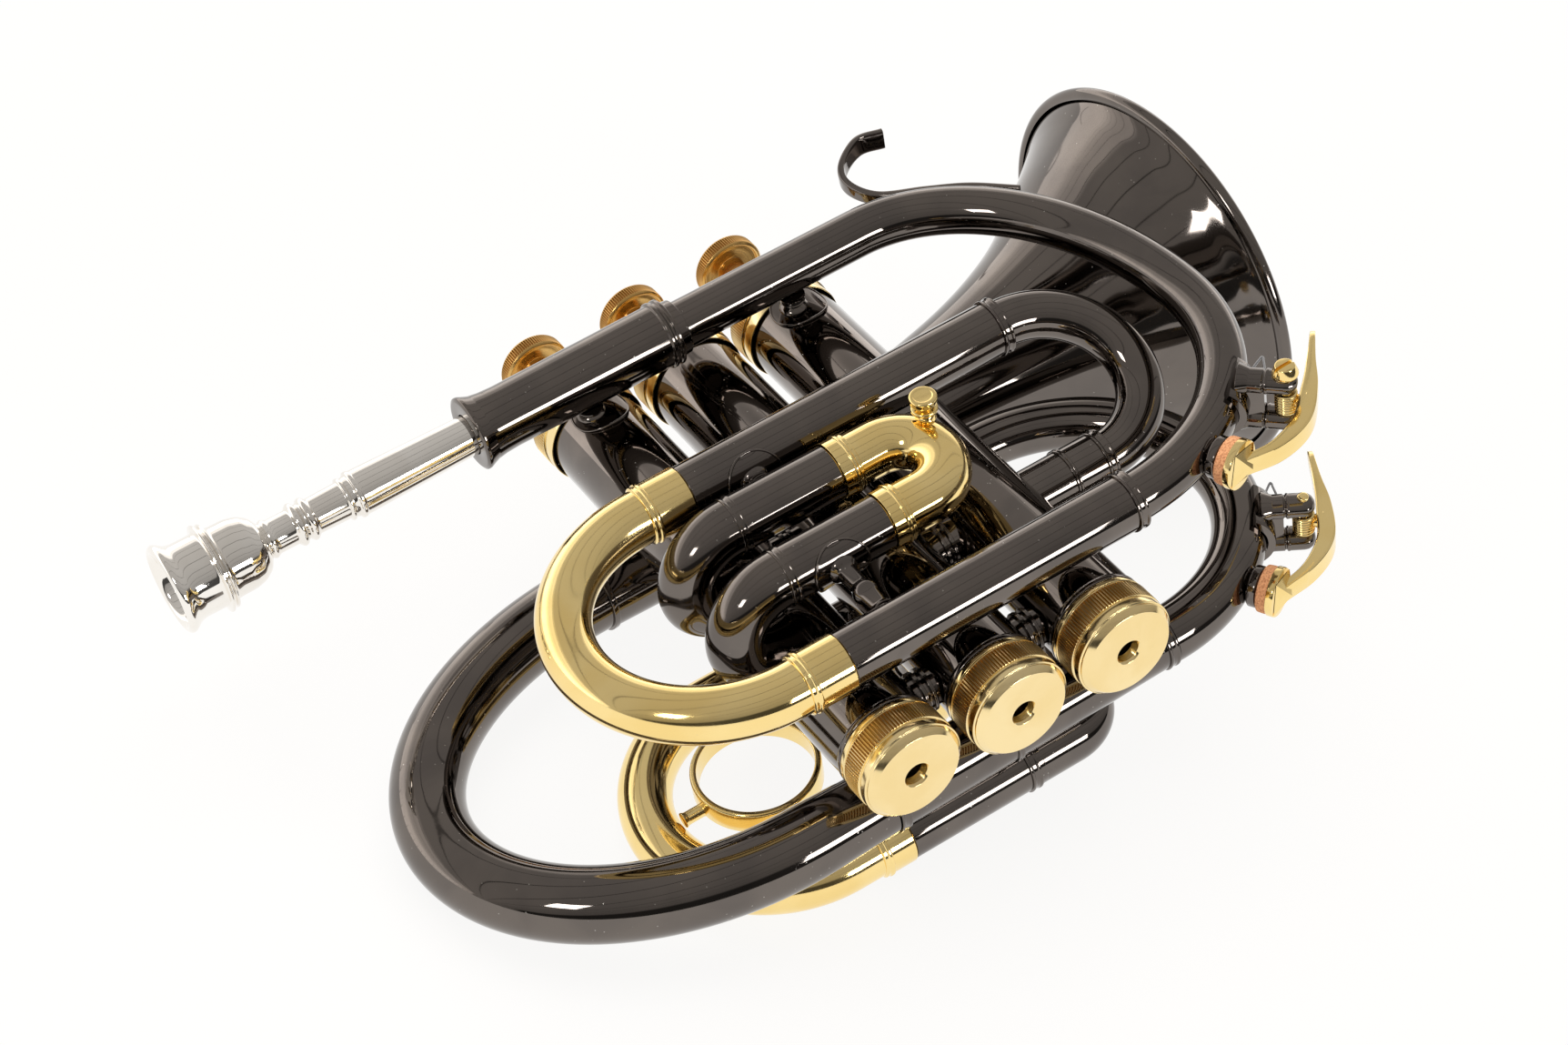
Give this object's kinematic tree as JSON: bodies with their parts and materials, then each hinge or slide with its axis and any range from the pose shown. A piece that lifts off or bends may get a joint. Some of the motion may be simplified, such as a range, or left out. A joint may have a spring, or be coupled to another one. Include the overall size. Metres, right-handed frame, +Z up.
{
  "type": "pocket trumpet",
  "caption": "Small tightly wound trumpet with piston valves, pull slides, water keys, finger ring and finger hook, lying on its side.",
  "frame": {"origin": "the floor, under the middle of the instrument as it lies on its left side", "axes": "+X forward from mouthpiece to bell, +Y towards the finger buttons, +Z up from the floor; the instrument leans 12.5 degrees nose up and 2.5 degrees sideways, as it rests on its bell rim and third slide"},
  "size_m": [0.2696, 0.1696, 0.1034],
  "materials": {
    "black_nickel": "black nickel plate, polished",
    "brass": "polished and lacquered brass",
    "silver": "silver plate, polished",
    "monel": "lapped nickel alloy",
    "spring_steel": "drawn spring wire",
    "cork": "pressed cork"
  },
  "bodies": {
    "horn": {"casing_1": "black_nickel", "casing_2": "black_nickel", "casing_3": "black_nickel", "crossover_12": "black_nickel", "crossover_23": "black_nickel", "casing_strut_12": "black_nickel", "casing_strut_23": "black_nickel", "receiver": "black_nickel", "leadpipe": "black_nickel", "lower_tuning_tube": "black_nickel", "upper_tuning_tube": "black_nickel", "entry_bow": "black_nickel", "entry_knuckle": "black_nickel", "first_slide_tube_upper": "black_nickel", "first_slide_tube_lower": "black_nickel", "second_slide_tube_upper": "black_nickel", "second_slide_tube_lower": "black_nickel", "third_slide_tube_upper": "black_nickel", "third_slide_tube_lower": "black_nickel", "bell": "black_nickel", "tail_bow": "black_nickel", "lower_run": "black_nickel", "front_bow": "black_nickel", "return_tube": "black_nickel", "finger_hook": "black_nickel", "receiver_brace": "black_nickel", "leadpipe_brace": "black_nickel", "tuning_brace_upper": "black_nickel", "tuning_brace_lower": "black_nickel", "bell_brace": "black_nickel", "water_key_saddle_1": "black_nickel", "water_key_saddle_2": "black_nickel", "valve_spring_1": "spring_steel", "valve_spring_2": "spring_steel", "valve_spring_3": "spring_steel", "top_cap_1": "brass", "top_cap_2": "brass", "top_cap_3": "brass", "bottom_cap_1": "brass", "bottom_cap_2": "brass", "bottom_cap_3": "brass", "water_key_screw_1": "brass", "water_key_screw_2": "brass"},
    "valve_1": {"piston_1": "monel", "button_1": "brass"},
    "valve_2": {"piston_2": "monel", "button_2": "brass"},
    "valve_3": {"piston_3": "monel", "button_3": "brass"},
    "tuning_slide": {"tuning_slide": "brass"},
    "first_slide": {"first_slide": "brass", "first_slide_knob": "brass"},
    "second_slide": {"second_slide": "brass"},
    "third_slide": {"third_slide": "brass", "finger_ring": "brass"},
    "water_key_1": {"water_key_lever_1": "brass", "water_key_cork_1": "cork"},
    "water_key_2": {"water_key_lever_2": "brass", "water_key_cork_2": "cork"},
    "mouthpiece": {"mouthpiece": "silver"}
  },
  "joints": [
    {"name": "valve_1_press", "type": "slide", "parent": "horn", "child": "valve_1", "axis": [0, -0.9991, 0.0429], "range_m": [0, 0.0128], "stiffness_N_per_m": 160, "springref_m": -0.02, "deforming": ["valve_spring_1"]},
    {"name": "valve_2_press", "type": "slide", "parent": "horn", "child": "valve_2", "axis": [0, -0.9991, 0.0429], "range_m": [0, 0.0128], "stiffness_N_per_m": 160, "springref_m": -0.02, "deforming": ["valve_spring_2"]},
    {"name": "valve_3_press", "type": "slide", "parent": "horn", "child": "valve_3", "axis": [0, -0.9991, 0.0429], "range_m": [0, 0.0128], "stiffness_N_per_m": 160, "springref_m": -0.02, "deforming": ["valve_spring_3"]},
    {"name": "tuning_slide_pull", "type": "slide", "parent": "horn", "child": "tuning_slide", "axis": [-0.9764, -0.0093, -0.2157], "range_m": [0, 0.02]},
    {"name": "first_slide_pull", "type": "slide", "parent": "horn", "child": "first_slide", "axis": [0.9764, 0.0093, 0.2157], "range_m": [0, 0.012]},
    {"name": "second_slide_pull", "type": "slide", "parent": "horn", "child": "second_slide", "axis": [0.2159, -0.0419, -0.9755], "range_m": [0, 0.005]},
    {"name": "third_slide_pull", "type": "slide", "parent": "horn", "child": "third_slide", "axis": [-0.9764, -0.0093, -0.2157], "range_m": [0, 0.02]},
    {"name": "mouthpiece_pull", "type": "slide", "parent": "horn", "child": "mouthpiece", "axis": [-0.9764, -0.0093, -0.2157], "range_m": [0, 0.02]},
    {"name": "water_key_1_lift", "type": "hinge", "parent": "horn", "child": "water_key_1", "pos_m": [0.07914, -0.06098, 0.09487], "axis": [-0.2159, 0.0419, 0.9755], "range_deg": [0, 12], "stiffness_Nm_per_rad": 0.05, "springref_deg": -22.92},
    {"name": "water_key_2_lift", "type": "hinge", "parent": "horn", "child": "water_key_2", "pos_m": [0.09255, -0.06103, 0.05581], "axis": [-0.2159, 0.0419, 0.9755], "range_deg": [0, 12], "stiffness_Nm_per_rad": 0.05, "springref_deg": -22.92}
  ]
}
